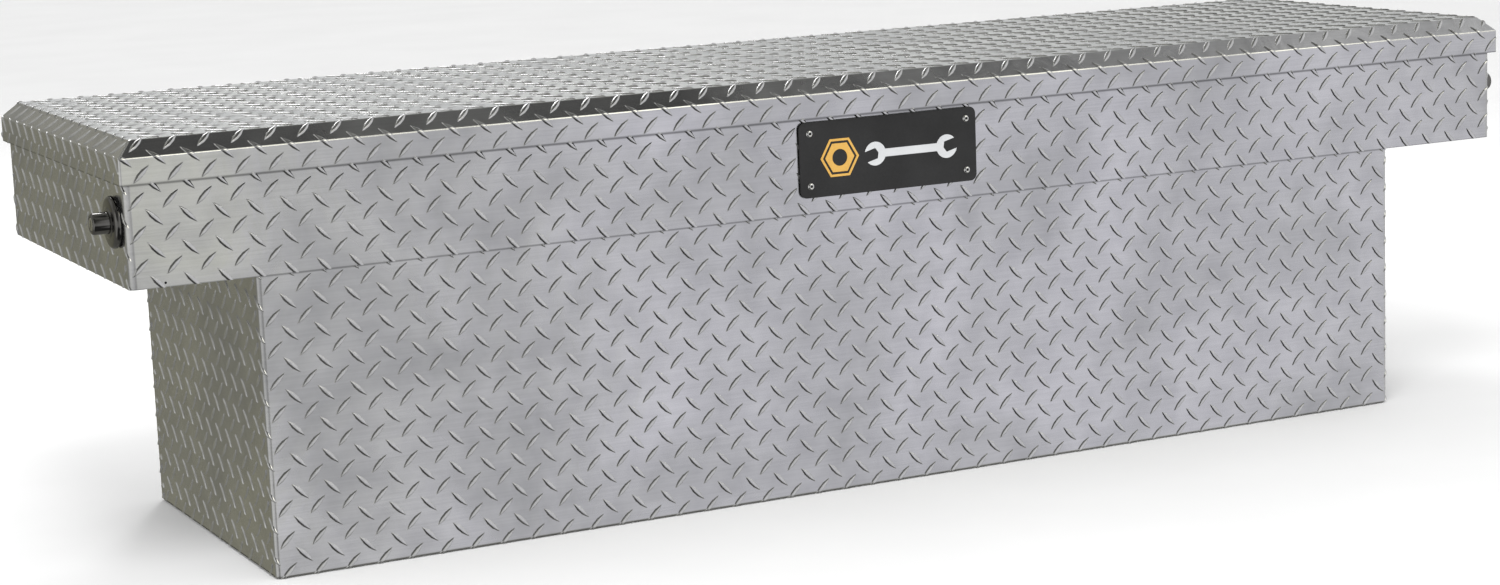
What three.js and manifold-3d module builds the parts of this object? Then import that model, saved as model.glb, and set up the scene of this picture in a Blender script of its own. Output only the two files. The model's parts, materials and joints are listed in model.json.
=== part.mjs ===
// Truck tool box: a crossbed box of aluminium tread plate that sits on a pickup's bed rails.
// Millimetres, +Z up, +X along the length, front (tailgate side, with the name plate) at -Y.
// Origin: under the tub floor, at the middle of the whole box's length and depth.
import * as THREE from 'three';
import { ConvexGeometry } from 'three/addons/geometries/ConvexGeometry.js';
import { mergeVertices } from 'three/addons/utils/BufferGeometryUtils.js';
import Module from 'manifold-3d';

const wasm = await Module();
wasm.setup();

// ---- driving dimensions ----
const LID_LENGTH = 1753;
const LID_DEPTH = 495;
const LID_BEVEL = 17;
const SKIRT_HEIGHT = 27;
const TRAY_HEIGHT = 107; // upper body seen below the lid's skirt
const RIM_RISE = 29; // from the skirt's lower edge up to the body's rim
const TUB_HEIGHT = 320;
const TUB_DEPTH = 427;
const LEFT_SADDLE = 132;
const RIGHT_SADDLE = 161;
const END_INSET = 5; // body inside the lid at each end
const FRONT_INSET = 7; // body inside the lid at the front
const SHEET = 1.5;
const BEND = 5; // outer bend radius of the formed sheets
const LID_FOLD = 4; // outer radius of the lid's folds
const LID_CORNER = 3; // outer radius of the lid's ground corners
const FOLD_STEPS = 4;
const CORNER_STEPS = 3;
const GAP = 0.25; // between touching pieces
const RIM_WIDTH = 24;
const TRAY_CORNER = 8; // outer radius of the upper body's vertical corners
const CORNER_RETURN = 12; // how far a front or rear sheet turns round a vertical corner
const SEAL_INSET = 19; // weather seal inside the lid's edge
const SEAL_WIDTH = 11;
const LAP_HEIGHT = 28; // tub front wall tucked up behind the tray's front panel
const LUG_HEIGHT = 1.25; // raised tread on the outer faces, which the name plate rests on
const END_FLANGE = 26; // width of the end panels' rim flange
const WELD = 1; // overlap of solids that are joined
const PASS = 5; // reach of a cutting tool beyond the sheet it cuts
const DRAIN = { inset: 90, hole: 12, plug: 11.4, flange: 16, dome: 14, lip: 2.5, height: 3.5 };

const HINGE_LENGTH = 1700;
const KNUCKLE_LENGTH = 50;
const BARREL_RADIUS = 3.25;
const BARREL_HOLE = 1.9;
const PIN_RADIUS = 1.5;
const PIN_END = 2; // pin beyond the leaves at each end
const LEAF = 1.5;
const LEAF_NECK = 5; // from the barrel's axis to where the leaf runs flat
const BODY_LEAF_REACH = 32;
const LID_LEAF_REACH = 26;
const KNUCKLE_SLOT = 8; // half-width of the tool that parts the knuckles

const LOCK_BACK = 37; // lock axis behind the body's front face
const LOCK_DROP = 41; // lock axis below the skirt's lower edge
const LOCK_RADIUS = 27;
const BUTTON_RADIUS = 11.25;
const LOCK_HOLE = 15.5; // hole in the end panel round the lock's barrel

const STRUT_X = 826; // strut centre planes, either side of the middle
const STRUT_LID = [-110, 22]; // lid pivot of each strut from the hinge axis, as [y, z]
const STRUT_BODY = [-330, -75.25]; // body pivot of each strut from the hinge axis
const STRUT_TUBE = 165;

// ---- places worked out from them ----
const skirtZ = TUB_HEIGHT + TRAY_HEIGHT;
const shoulderZ = skirtZ + SKIRT_HEIGHT;
const topZ = shoulderZ + LID_BEVEL;
const ceilingZ = topZ - SHEET;
const rimZ = skirtZ + RIM_RISE;
const endX = LID_LENGTH / 2 - END_INSET;
const frontY = -LID_DEPTH / 2 + FRONT_INSET;
const axisY = LID_DEPTH / 2 - SHEET - GAP - BARREL_RADIUS;
const axisZ = skirtZ - 2 * GAP - BARREL_RADIUS;
const rearY = axisY - BARREL_RADIUS - GAP;
const tubLeftX = -endX + LEFT_SADDLE;
const tubRightX = endX - RIGHT_SADDLE;
const tubFrontY = frontY + SHEET + GAP;
const tubRearY = tubFrontY + TUB_DEPTH;
const lockY = frontY + LOCK_BACK;
const lockZ = skirtZ - LOCK_DROP;

// ---- materials ----
function finish(color, roughness, metalness) {
  return new THREE.MeshStandardMaterial({ color, roughness, metalness });
}
const TREAD_PLATE = [0xb4b5b8, 0.38, 0.9];
const MILL_SHEET = [0xa9abae, 0.5, 0.85];
const ZINC_STEEL = [0x9a9ca0, 0.45, 0.9];
const BLACK_STEEL = [0x1b1b1c, 0.4, 0.3];
const BLACK_CHROME = [0x161617, 0.12, 0.6];
const POLISHED_ROD = [0xd0d2d4, 0.12, 1];
const RUBBER = [0x141414, 0.85, 0];
const PLATE_BLACK = [0x2b2b2b, 0.55, 0.1];

// ---- solids ----
function solidOf(geometry) {
  const bare = geometry.clone();
  bare.deleteAttribute('normal');
  bare.deleteAttribute('uv');
  const merged = mergeVertices(bare, 1e-4);
  return new wasm.Manifold(new wasm.Mesh({
    numProp: 3,
    vertProperties: new Float32Array(merged.attributes.position.array),
    triVerts: new Uint32Array(merged.index.array),
  }));
}

function geometryOf(solid) {
  const mesh = solid.getMesh();
  const geometry = new THREE.BufferGeometry();
  geometry.setAttribute('position', new THREE.BufferAttribute(mesh.vertProperties, 3));
  geometry.setIndex(new THREE.BufferAttribute(mesh.triVerts, 1));
  geometry.computeVertexNormals();
  return geometry;
}

function join(...geometries) {
  return geometryOf(geometries.map(solidOf).reduce((whole, next) => whole.add(next)));
}

function cut(geometry, ...tools) {
  return geometryOf(tools.map(solidOf).reduce((whole, tool) => whole.subtract(tool), solidOf(geometry)));
}

function common(a, b) {
  return geometryOf(solidOf(a).intersect(solidOf(b)));
}

function block(x, y, z) {
  const box = new THREE.BoxGeometry(x[1] - x[0], y[1] - y[0], z[1] - z[0]);
  return box.translate((x[0] + x[1]) / 2, (y[0] + y[1]) / 2, (z[0] + z[1]) / 2);
}

// Round bar along X, centred on (y, z).
function barX(radius, x, y, z, sides = 16) {
  const bar = new THREE.CylinderGeometry(radius, radius, x[1] - x[0], sides);
  return bar.rotateZ(Math.PI / 2).translate((x[0] + x[1]) / 2, y, z);
}

// Turned piece about X from a profile of [x, radius] points.
function turnedX(profile, sides = 24) {
  const points = profile.map(([x, radius]) => new THREE.Vector2(radius, x));
  return new THREE.LatheGeometry(points, sides).rotateZ(-Math.PI / 2);
}

// Turned piece about Y from a profile of [y, radius] points.
function turnedY(profile, sides = 16) {
  return new THREE.LatheGeometry(profile.map(([y, radius]) => new THREE.Vector2(radius, y)), sides);
}

function outline(points) {
  return new THREE.Shape(points.map(([a, b]) => new THREE.Vector2(a, b)));
}

function extrude(shape, depth) {
  return new THREE.ExtrudeGeometry(shape, { depth, bevelEnabled: false, curveSegments: 6 });
}

// A [y, z] outline extruded along X.
function alongX(shape, x) {
  const toRow = new THREE.Matrix4().set(0, 0, 1, x[0], 1, 0, 0, 0, 0, 1, 0, 0, 0, 0, 0, 1);
  return extrude(shape, x[1] - x[0]).applyMatrix4(toRow);
}

// An [x, z] outline extruded along Y.
function alongY(shape, y) {
  const toRow = new THREE.Matrix4().set(1, 0, 0, 0, 0, 0, -1, y[1], 0, 1, 0, 0, 0, 0, 0, 1);
  return extrude(shape, y[1] - y[0]).applyMatrix4(toRow);
}

// Section of a sheet whose mid-plane follows a path and turns each corner in an arc of this radius.
function bentSheet(path, radius, steps = 6) {
  const points = path.map(([a, b]) => new THREE.Vector2(a, b));
  const stations = [];
  const addStation = (at, along) => stations.push([at, new THREE.Vector2(-along.y, along.x)]);
  points.forEach((corner, i) => {
    if (i === 0 || i === points.length - 1) {
      const [from, to] = i === 0 ? [corner, points[1]] : [points[i - 1], corner];
      addStation(corner, to.clone().sub(from).normalize());
      return;
    }
    const before = corner.clone().sub(points[i - 1]).normalize();
    const after = points[i + 1].clone().sub(corner).normalize();
    const turn = Math.atan2(before.cross(after), before.dot(after));
    const start = corner.clone().addScaledVector(before, -radius * Math.tan(Math.abs(turn) / 2));
    const inward = new THREE.Vector2(-before.y, before.x).multiplyScalar(Math.sign(turn));
    const centre = start.clone().addScaledVector(inward, radius);
    for (let k = 0; k <= steps; k += 1) {
      const angle = (turn * k) / steps;
      const arm = start.clone().sub(centre).rotateAround(new THREE.Vector2(), angle);
      addStation(centre.clone().add(arm), before.clone().rotateAround(new THREE.Vector2(), angle));
    }
  });
  const side = (offset) => stations.map(([at, normal]) => at.clone().addScaledVector(normal, offset));
  return new THREE.Shape([...side(SHEET / 2), ...side(-SHEET / 2).reverse()]);
}

function piece(name, geometry, look) {
  const mesh = new THREE.Mesh(geometry, finish(...look));
  mesh.name = name;
  return mesh;
}

function nameOf(side) {
  return side < 0 ? 'left' : 'right';
}

// ---- tray: the upper body, whose ends sit on the bed rails ----
// Wall of one sheet that turns round both vertical corners; inward is +1 for a front wall.
function corneredWall(x, y, inward, z, radius) {
  const end = y + inward * CORNER_RETURN;
  const middle = y + (inward * SHEET) / 2;
  const [left, right] = [x[0] + SHEET / 2, x[1] - SHEET / 2];
  const plan = bentSheet([[left, end], [left, middle], [right, middle], [right, end]], radius - SHEET / 2);
  return extrude(plan, z[1] - z[0]).translate(0, 0, z[0]);
}

function rimFlange(y, inward) {
  const halfX = endX - SHEET - GAP;
  const edges = [y + (inward * SHEET) / 2, y + inward * RIM_WIDTH].sort((a, b) => a - b);
  return block([-halfX, halfX], edges, [rimZ - SHEET, rimZ]);
}

// Small hole low on the front, which drains the left saddle.
const WEEP_HOLE = { x: -835, rise: 4.5, radius: 1.3 };

function upperFrontPanel(rivetHoles) {
  const weepHole = new THREE.CylinderGeometry(WEEP_HOLE.radius, WEEP_HOLE.radius, 4 * SHEET, 12);
  weepHole.translate(WEEP_HOLE.x, frontY, TUB_HEIGHT + WEEP_HOLE.rise);
  const wall = corneredWall([-endX, endX], frontY, 1, [TUB_HEIGHT, rimZ], TRAY_CORNER);
  return cut(join(wall, rimFlange(frontY, 1)), weepHole, ...rivetHoles);
}

function upperRearPanel() {
  const wall = corneredWall([-endX, endX], rearY, -1, [TUB_HEIGHT, rimZ], TRAY_CORNER);
  const ledge = block(
    [tubLeftX + SHEET + GAP, tubRightX - SHEET - GAP],
    [tubRearY + GAP, rearY - SHEET / 2],
    [TUB_HEIGHT, TUB_HEIGHT + SHEET],
  );
  return join(wall, rimFlange(rearY, -1), ledge);
}

function endPanel(side) {
  const y = [frontY + CORNER_RETURN + GAP, rearY - CORNER_RETURN - GAP];
  const spanX = (inset) => [side * endX, side * (endX - inset)].sort((a, b) => a - b);
  const wall = block(spanX(SHEET), y, [TUB_HEIGHT, rimZ]);
  const flangeY = [frontY + RIM_WIDTH + GAP, rearY - RIM_WIDTH - GAP];
  const flange = block(spanX(END_FLANGE), flangeY, [rimZ - SHEET, rimZ]);
  const lockHole = barX(LOCK_HOLE, [side * endX - PASS, side * endX + PASS], lockY, lockZ, 24);
  return cut(join(wall, flange), lockHole);
}

// Saddle floor and the tub's end wall, formed from one sheet.
function saddlePanel(side) {
  const tubX = side < 0 ? tubLeftX : tubRightX;
  const wallX = tubX - (side * SHEET) / 2;
  const outerX = side * (endX - SHEET - GAP);
  const wall = alongY(bentSheet([
    [outerX, TUB_HEIGHT + SHEET / 2],
    [wallX, TUB_HEIGHT + SHEET / 2],
    [wallX, SHEET + GAP],
  ], BEND + SHEET / 2), [tubFrontY + CORNER_RETURN + GAP, tubRearY - CORNER_RETURN - GAP]);
  // The floor's outer corners step in, clear of the tray's rounded vertical corners.
  const floors = [[0, TRAY_CORNER], [TRAY_CORNER, 0]].map(([insetX, insetY]) => block(
    [outerX - side * insetX, tubX - side * SHEET].sort((a, b) => a - b),
    [frontY + SHEET + GAP + insetY, rearY - SHEET - GAP - insetY],
    [TUB_HEIGHT, TUB_HEIGHT + SHEET],
  ));
  return join(wall, ...floors);
}

// ---- tub: front wall, floor and rear wall in one sheet ----
function tubWrap(drainHoles) {
  const top = TUB_HEIGHT - GAP;
  const x = [tubLeftX, tubRightX];
  const inset = (range, by) => [range[0] + by, range[1] - by];
  const y = [tubFrontY, tubRearY];
  const floorZ = [0, SHEET];
  const inside = inset(x, SHEET + GAP);
  return cut(
    join(
      corneredWall(x, tubFrontY, 1, [0, top], BEND),
      corneredWall(x, tubRearY, -1, [0, top], BEND),
      block(x, inset(y, CORNER_RETURN - WELD), floorZ),
      block(inset(x, BEND), inset(y, SHEET / 2), floorZ),
      block(inside, [y[0], y[0] + SHEET], [top - 2 * WELD, TUB_HEIGHT + LAP_HEIGHT]),
      block(inside, [y[1] - SHEET, y[1]], [top - 2 * WELD, TUB_HEIGHT + LAP_HEIGHT / 2]),
    ),
    ...drainHoles,
  );
}

function drainPlug() {
  const { plug, flange, dome, lip, height } = DRAIN;
  return new THREE.LatheGeometry([
    [0, GAP], [plug, GAP], [plug, SHEET + GAP], [flange, SHEET + GAP],
    [flange, SHEET + lip], [dome, SHEET + height], [0, SHEET + height],
  ].map(([r, z]) => new THREE.Vector2(r, z)), 20).rotateX(Math.PI / 2);
}

function weatherSeal() {
  const outer = [LID_LENGTH / 2 - SEAL_INSET, LID_DEPTH / 2 - SEAL_INSET];
  const z = [rimZ + GAP, ceilingZ - GAP];
  const inner = outer.map((half) => half - SEAL_WIDTH);
  return cut(
    block([-outer[0], outer[0]], [-outer[1], outer[1]], z),
    block([-inner[0], inner[0]], [-inner[1], inner[1]], [z[0] - PASS, z[1] + PASS]),
  );
}

// ---- continuous hinge, about X through the origin of its group ----
function hingeLeaf(toward, reach, first) {
  const plateY = [BARREL_RADIUS - LEAF, BARREL_RADIUS].map((y) => toward * y).sort((a, b) => a - b);
  const span = (a, b) => [toward * a, toward * b].sort((p, q) => p - q);
  const half = HINGE_LENGTH / 2;
  const roll = cut(
    join(barX(BARREL_RADIUS, [-half, half], 0, 0, 12), block([-half, half], plateY, span(0, LEAF_NECK))),
    barX(BARREL_HOLE, [-half - PASS, half + PASS], 0, 0, 12),
  );
  const slots = [];
  for (let x = -half + first * KNUCKLE_LENGTH; x < half; x += 2 * KNUCKLE_LENGTH) {
    const across = [-KNUCKLE_SLOT, KNUCKLE_SLOT];
    slots.push(block([x + GAP, x + KNUCKLE_LENGTH - GAP], across, across));
  }
  const plate = block([-half, half], plateY, span(BARREL_RADIUS + GAP, reach));
  return join(plate, common(roll, join(...slots)));
}

function hingePin() {
  const half = HINGE_LENGTH / 2 + PIN_END;
  return barX(PIN_RADIUS, [-half, half], 0, 0, 12);
}

// ---- lid, in a group whose origin is the hinge axis ----
// Stack of rounded rectangles from the open lower edge at z up to the flat top, through two rounded
// folds: skirt to bevel and bevel to top. Offset moves the whole surface inwards.
function hood(offset, z) {
  const fold = Math.PI / 4;
  const reach = LID_FOLD * Math.tan(fold / 2);
  const bevelRun = (LID_BEVEL * Math.SQRT2 - 2 * reach) * Math.SQRT1_2;
  const radius = LID_FOLD - offset;
  const shoulder = shoulderZ - reach;
  const levels = [[offset, z], [offset, shoulder]];
  const stepsIn = (insetStart, levelStart, from) => {
    for (let k = 1; k <= FOLD_STEPS; k += 1) {
      const angle = from + (fold * k) / FOLD_STEPS;
      levels.push([
        insetStart + radius * (Math.cos(from) - Math.cos(angle)),
        levelStart + radius * (Math.sin(angle) - Math.sin(from)),
      ]);
    }
  };
  stepsIn(offset, shoulder, 0);
  const [inset, level] = levels.at(-1);
  levels.push([inset + bevelRun, level + bevelRun]);
  stepsIn(inset + bevelRun, level + bevelRun, fold);
  const points = [];
  levels.forEach(([inward, height]) => {
    const round = LID_CORNER - offset;
    const centre = [LID_LENGTH / 2 - inward - round, LID_DEPTH / 2 - inward - round];
    [-1, 1].forEach((sx) => [-1, 1].forEach((sy) => {
      for (let k = 0; k <= CORNER_STEPS; k += 1) {
        const angle = (Math.PI / 2) * (k / CORNER_STEPS);
        const x = sx * (centre[0] + round * Math.cos(angle));
        const y = sy * (centre[1] + round * Math.sin(angle));
        points.push(new THREE.Vector3(x, y, height));
      }
    }));
  });
  return new ConvexGeometry(points);
}

function lidShell() {
  return cut(hood(0, skirtZ), hood(SHEET, skirtZ - PASS)).translate(0, -axisY, -axisZ);
}

// Hat section under the lid: half-widths of its crown, its foot and its flanges.
const STIFFENER = { length: 1600, depth: 20, crown: 24, foot: 30, flange: 46, bend: 3 };

function lidStiffener() {
  const z = ceilingZ - GAP - SHEET / 2 - axisZ;
  const { length, depth, crown, foot, flange, bend } = STIFFENER;
  const section = bentSheet([
    [-flange, z], [-foot, z], [-crown, z - depth], [crown, z - depth], [foot, z], [flange, z],
  ], bend, 3);
  return alongX(section, [-length / 2, length / 2]).translate(0, -axisY, 0);
}

// Bar that the hook holds, between two ears under the lid.
const STRIKER = {
  x: 780, y: -203, z: 440, radius: 4, earX: 14, earWidth: 16, ear: 3, drop: 7, wing: 12, tongue: 14, tail: 2,
};

function striker() {
  const { y, z, radius, earX, earWidth, ear, drop, wing, tongue, tail } = STRIKER;
  const top = ceilingZ - GAP;
  const earY = [y - earWidth / 2, y + earWidth / 2];
  const ears = [-1, 1].map((side) => {
    const x = side < 0 ? [-earX - ear, -earX] : [earX, earX + ear];
    return block(x, earY, [z - drop, top]);
  });
  const base = block([-earX - wing, earX + wing], [earY[0], earY[1] + tongue], [top - ear, top]);
  const bar = barX(radius, [-earX - tail, earX + tail], y, z, 12);
  return join(base, ...ears, bar).translate(0, -axisY, -axisZ);
}

// Upright plate beside the strut's lid pivot, with a foot that reaches over the strut.
const LID_BRACKET = { face: 12, thickness: 3, half: 18, drop: 13, foot: 8 };

function strutLidBracket(side) {
  const top = ceilingZ - GAP - axisZ;
  const [y, z] = STRUT_LID;
  const { face, thickness, half, drop, foot } = LID_BRACKET;
  const [near, far] = [STRUT_X + face, STRUT_X + face + thickness];
  const x = side < 0 ? [-far, -near] : [near, far];
  const edge = side * (STRUT_X - foot);
  const plate = block(x, [y - half, y + half], [z - drop, top]);
  const footX = [Math.min(x[0], edge), Math.max(x[1], edge)];
  return join(plate, block(footX, [y - half, y + half], [top - thickness, top]));
}

// ---- name plate ----
const PLATE = { x: 3.5, z: [338, 423], width: 228, corner: 8, thickness: 1.6, inset: [13, 13] };
const PLATE_STANDOFF = LUG_HEIGHT + 0.2;
const RIVET = { hole: 2.5, shank: 2, head: 4, height: 1.8 };

function plateRivetPlaces() {
  const halfX = PLATE.width / 2 - PLATE.inset[0];
  const [bottom, top] = [PLATE.z[0] + PLATE.inset[1], PLATE.z[1] - PLATE.inset[1]];
  return [[-halfX, top], [halfX, top], [-halfX, bottom], [halfX, bottom]].map(([x, z]) => [x + PLATE.x, z]);
}

function plateHoles() {
  return plateRivetPlaces().map(([x, z]) => {
    const drill = new THREE.CylinderGeometry(RIVET.hole, RIVET.hole, 6 * PASS, 12);
    return drill.translate(x, frontY, z);
  });
}

function namePlate() {
  const { width, corner, thickness, z } = PLATE;
  const [w, h, r] = [width / 2, (z[1] - z[0]) / 2, corner];
  const shape = new THREE.Shape();
  shape.absarc(w - r, h - r, r, 0, Math.PI / 2);
  shape.absarc(-w + r, h - r, r, Math.PI / 2, Math.PI);
  shape.absarc(-w + r, -h + r, r, Math.PI, 1.5 * Math.PI);
  shape.absarc(w - r, -h + r, r, 1.5 * Math.PI, 2 * Math.PI);
  const back = frontY - PLATE_STANDOFF;
  const plate = alongY(shape, [back - thickness, back]).translate(PLATE.x, 0, (z[0] + z[1]) / 2);
  return cut(plate, ...plateHoles());
}

// Pop rivet along Y: domed head, shank through plate and panel, upset end inside.
function plateRivet() {
  const face = -PLATE_STANDOFF - PLATE.thickness - GAP;
  const { shank, head, height } = RIVET;
  return turnedY([
    [face - height, 0], [face - height, 1.8], [face - height / 2, 3.6], [face, head],
    [face, shank], [SHEET + GAP, shank], [SHEET + GAP, 3], [SHEET + 2.5, 2.6], [SHEET + 2.5, 0],
  ], 14);
}

// ---- push-button lock, turned about local +X, which points out of the box's end ----
const BARREL_WALL = [15, 11.6]; // outer and inner radius of the lock's body
const BARREL_END = -24;
const BUTTON_TIP = 26;
const BUTTON_BACK = -8;
const NOSE_LENGTH = 6;
const KEY_POCKET = 12;
const POCKET_RADIUS = 7.3;
const KEY_RADIUS = 7;
const NOSE_RADIUS = 5;
const NOSE_HOLE = 5.8;
const NOSE_REACH = 11.5; // left button's nose beyond the end of the barrel
const GASKET = { inner: 15.6, outer: 25.5, thickness: 1 };
const LOCK_NUT = { radius: 23, thickness: 6, clearance: 0.4 };
const BUTTON_SPRING = { radius: 8.6, wire: 1.2, length: 4, turns: 3 };

function lockGasket() {
  const { inner, outer, thickness } = GASKET;
  const [back, face] = [GAP, GAP + thickness];
  return turnedX([[back, inner], [back, outer], [face, outer], [face, inner], [back, inner]]);
}

function lockEscutcheon() {
  const back = 2 * GAP + GASKET.thickness;
  const [outer, bore] = BARREL_WALL;
  return turnedX([
    [BARREL_END, NOSE_HOLE], [BARREL_END, outer], [back, outer], [back, LOCK_RADIUS], [5, LOCK_RADIUS],
    [7.2, LOCK_RADIUS - 1.6], [8, LOCK_RADIUS - 4], [8, 16], [9, 14], [9, bore],
    [BARREL_END + 4, bore], [BARREL_END + 4, NOSE_HOLE], [BARREL_END, NOSE_HOLE],
  ], 24);
}

function lockNut() {
  const { radius, thickness, clearance } = LOCK_NUT;
  const face = -SHEET - GAP;
  const hexagon = turnedX([[face - thickness, 0], [face - thickness, radius], [face, radius], [face, 0]], 6);
  return cut(hexagon, barX(BARREL_WALL[0] + clearance, [BARREL_END, PASS], 0, 0, 24));
}

function pushButton(noseTip) {
  return turnedX([
    [noseTip, 0], [noseTip + NOSE_LENGTH, NOSE_RADIUS],
    [BUTTON_BACK, NOSE_RADIUS], [BUTTON_BACK, BUTTON_RADIUS],
    [BUTTON_TIP - 1.5, BUTTON_RADIUS], [BUTTON_TIP, BUTTON_RADIUS - 1.5], [BUTTON_TIP, POCKET_RADIUS],
    [BUTTON_TIP - KEY_POCKET, POCKET_RADIUS], [BUTTON_TIP - KEY_POCKET, 0],
  ], 24);
}

function keyCylinder() {
  const plug = turnedX([
    [BUTTON_TIP - KEY_POCKET + GAP, 0], [BUTTON_TIP - KEY_POCKET + GAP, KEY_RADIUS],
    [BUTTON_TIP - 0.6, KEY_RADIUS], [BUTTON_TIP - 0.2, KEY_RADIUS - 0.6], [BUTTON_TIP - 0.2, 0],
  ], 20);
  const keyway = block([BUTTON_TIP - 7, BUTTON_TIP + 1], [-0.7, 0.7], [-4, 4]);
  return cut(plug, keyway);
}

class Helix extends THREE.Curve {
  constructor(radius, length, turns) {
    super();
    this.radius = radius;
    this.length = length;
    this.turns = turns;
  }

  getPoint(t) {
    const angle = 2 * Math.PI * this.turns * t;
    return new THREE.Vector3(this.length * t, this.radius * Math.cos(angle), this.radius * Math.sin(angle));
  }
}

function coil(radius, wire, length, turns) {
  const section = new THREE.Shape().absarc(0, 0, wire / 2, 0, 2 * Math.PI);
  return new THREE.ExtrudeGeometry(section, {
    extrudePath: new Helix(radius, length, turns), steps: Math.round(10 * turns), curveSegments: 2,
  });
}

function buttonSpring() {
  const { radius, wire, length, turns } = BUTTON_SPRING;
  return coil(radius, wire, length, turns).translate(BARREL_END + 4 + GAP + wire / 2, 0, 0);
}

// ---- release shaft: either button lifts its trip arm, and the shaft swings both hooks ----
const SHAFT = { y: -178, z: 396, radius: 5, bore: 5.35 };
const BUTTON_TRAVEL = 6;
const TRIP_ARM = { thickness: 4, lostMotion: BUTTON_TRAVEL + GAP };
const BRACKETS = [-800, 0, 800];
const RETURN_SPRING = { radius: 7.6, wire: 1.8, length: 22, turns: 7 };

function leftNoseTip() {
  return BARREL_END - NOSE_REACH;
}

function tripArmX(side) {
  return side * (endX + leftNoseTip() - GAP - TRIP_ARM.thickness / 2);
}

// Plates on the shaft are drawn about the shaft's axis, in [y, z].
function shaftPlate(points, boss, thickness) {
  const half = [-thickness / 2, thickness / 2];
  const plate = join(alongX(outline(points), half), barX(boss, half, 0, 0, 20));
  return cut(plate, barX(SHAFT.bore, [-thickness, thickness], 0, 0, 20));
}

function latchHook() {
  const barY = STRIKER.y - SHAFT.y;
  const barZ = STRIKER.z - SHAFT.z;
  const mouth = STRIKER.radius + 0.5;
  return shaftPlate([
    [-9, 2], [barY + mouth, barZ - 12], [barY + mouth, barZ + mouth], [barY - mouth - 1, barZ + mouth],
    [barY - mouth - 3, barZ + mouth + 3], [barY + mouth - 2, barZ + mouth + 7],
    [barY + mouth + 8, barZ + mouth + 4], [barY + mouth + 9, barZ - 12], [9, 6], [6, -2],
  ].reverse(), 11, 5);
}

function tripArm() {
  const tipY = lockY - SHAFT.y;
  const under = lockZ - SHAFT.z + 0.6;
  return shaftPlate([
    [0, -8], [tipY + 7, under], [tipY - 6, under], [tipY - 6, under + 8], [0, 9],
  ], 10, TRIP_ARM.thickness);
}

function shaftBracket(x) {
  const wall = frontY + SHEET + GAP;
  const base = block([x - 16, x + 16], [wall, wall + 3], [SHAFT.z - 22, SHAFT.z + 26]);
  const web = alongX(outline([
    [wall + 1, SHAFT.z - 18], [SHAFT.y + 8, SHAFT.z - 10], [SHAFT.y + 10, SHAFT.z],
    [SHAFT.y + 8, SHAFT.z + 10], [wall + 1, SHAFT.z + 22],
  ]), [x - 2, x + 2]);
  return cut(join(base, web), barX(SHAFT.bore, [x - 10, x + 10], SHAFT.y, SHAFT.z, 20));
}

function returnSpring() {
  const { radius, wire, length, turns } = RETURN_SPRING;
  return coil(radius, wire, length, turns);
}

// ---- gas struts, drawn along local +Y from the body pivot ----
function strutLine() {
  const run = STRUT_LID[0] - STRUT_BODY[0];
  const rise = STRUT_LID[1] - STRUT_BODY[1];
  return { length: Math.hypot(run, rise), angle: Math.atan2(rise, run) };
}

const SOCKET = { radius: 8, halfWidth: 7, bore: 5.4, depth: 11, stud: 5 };
const TUBE = { start: 14, radius: 9, bore: 4.4, neck: 5 };
const ROD = { start: 24, radius: 4, neck: 5.5, neckLength: 16, end: 4 };

// Ball socket at distance y along the strut, open towards the nearer end of the box.
function socket(y, side) {
  const body = barX(SOCKET.radius, [-SOCKET.halfWidth, SOCKET.halfWidth], y, 0, 16);
  const mouth = side * SOCKET.halfWidth;
  const floor = mouth - side * SOCKET.depth;
  const bore = barX(SOCKET.bore, [Math.min(mouth + side, floor), Math.max(mouth + side, floor)], y, 0, 16);
  return { body, bore };
}

function strutCylinder(side) {
  const { start, radius, bore: tubeBore, neck } = TUBE;
  const end = start + STRUT_TUBE;
  const tube = turnedY([
    [4, 0], [4, neck], [start - 1, neck], [start, radius], [end - 3, radius], [end, radius - 2],
    [end, tubeBore], [start + 6, tubeBore], [start + 6, 0],
  ]);
  const { body, bore } = socket(0, side);
  return cut(join(tube, body), bore);
}

function strutRod(side) {
  const { length } = strutLine();
  const end = length - ROD.end;
  const neckStart = end - ROD.neckLength;
  const rod = turnedY([[ROD.start, 0], [ROD.start, ROD.radius], [end, ROD.radius], [end, 0]]);
  const neck = turnedY([[neckStart, 0], [neckStart, ROD.neck], [end, ROD.neck], [end, 0]]);
  const { body, bore } = socket(length, side);
  return cut(join(rod, neck, body), bore);
}

// Stud that the rod's socket turns on, its shoulder against the lid bracket's face.
function strutLidStud(side) {
  const inner = SOCKET.halfWidth - SOCKET.depth + 0.5;
  const reach = 12 - GAP;
  const stud = turnedX([
    [inner, 0], [inner, SOCKET.stud], [SOCKET.halfWidth + 1, SOCKET.stud],
    [SOCKET.halfWidth + 1, 7], [reach, 7], [reach, 0],
  ], 16);
  return side < 0 ? stud.rotateZ(Math.PI) : stud;
}

function strutBodyMount(side) {
  const wall = endX - SHEET - GAP - STRUT_X;
  const inner = SOCKET.halfWidth - SOCKET.depth + 0.5;
  const stud = turnedX([
    [inner, 0], [inner, SOCKET.stud], [SOCKET.halfWidth + 1, SOCKET.stud],
    [SOCKET.halfWidth + 1, 7], [SOCKET.halfWidth + 5, 7], [SOCKET.halfWidth + 5, 0],
  ], 16);
  const pedestal = block([SOCKET.halfWidth + 4, wall], [-13, 13], [-12, 12]);
  const base = block([wall - 3, wall], [-26, 26], [-16, 16]);
  const mount = join(stud, pedestal, base);
  return side < 0 ? mount.rotateZ(Math.PI) : mount;
}

// ---- assembly ----
const toolBox = new THREE.Group();

function add(parent, name, geometry, look, place = [0, 0, 0]) {
  const mesh = piece(name, geometry, look);
  mesh.position.set(...place);
  parent.add(mesh);
}

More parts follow.
